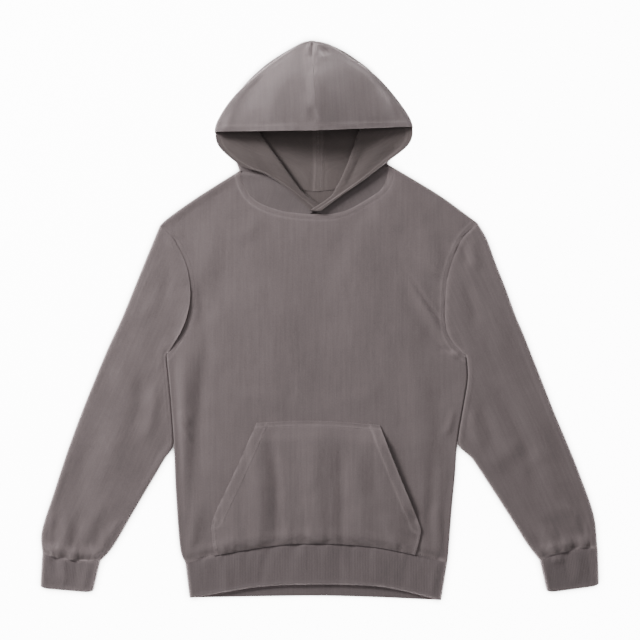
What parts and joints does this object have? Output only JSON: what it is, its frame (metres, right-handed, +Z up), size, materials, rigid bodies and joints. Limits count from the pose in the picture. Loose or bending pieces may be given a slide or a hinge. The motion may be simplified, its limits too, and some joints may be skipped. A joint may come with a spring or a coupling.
{
  "type": "pullover hoodie",
  "caption": "Pullover hoodie of cotton fleece with a kangaroo pocket, plain hem band and cuffs, laid flat on its back with the hood open.",
  "frame": {"origin": "middle of the laid-out outline, on the surface that the garment lies on", "axes": "+Y from hem to hood, +X to the right when the laid-out front is seen from above with the hood at the top, +Z up off the surface"},
  "size_m": [0.9096, 0.9131, 0.045],
  "materials": {
    "fleece": "matte brushed cotton, washed taupe grey",
    "rib": "matte fine knit, a little darker",
    "hood_fleece": "matte brushed cotton, washed taupe grey"
  },
  "bodies": {
    "root": {"back": "fleece", "front": "fleece", "hem_band": "rib", "pocket": "fleece", "sleeve_left": "fleece", "sleeve_right": "fleece", "cuff_left": "rib", "cuff_right": "rib", "hood_left": "hood_fleece", "hood_right": "hood_fleece"}
  },
  "joints": []
}
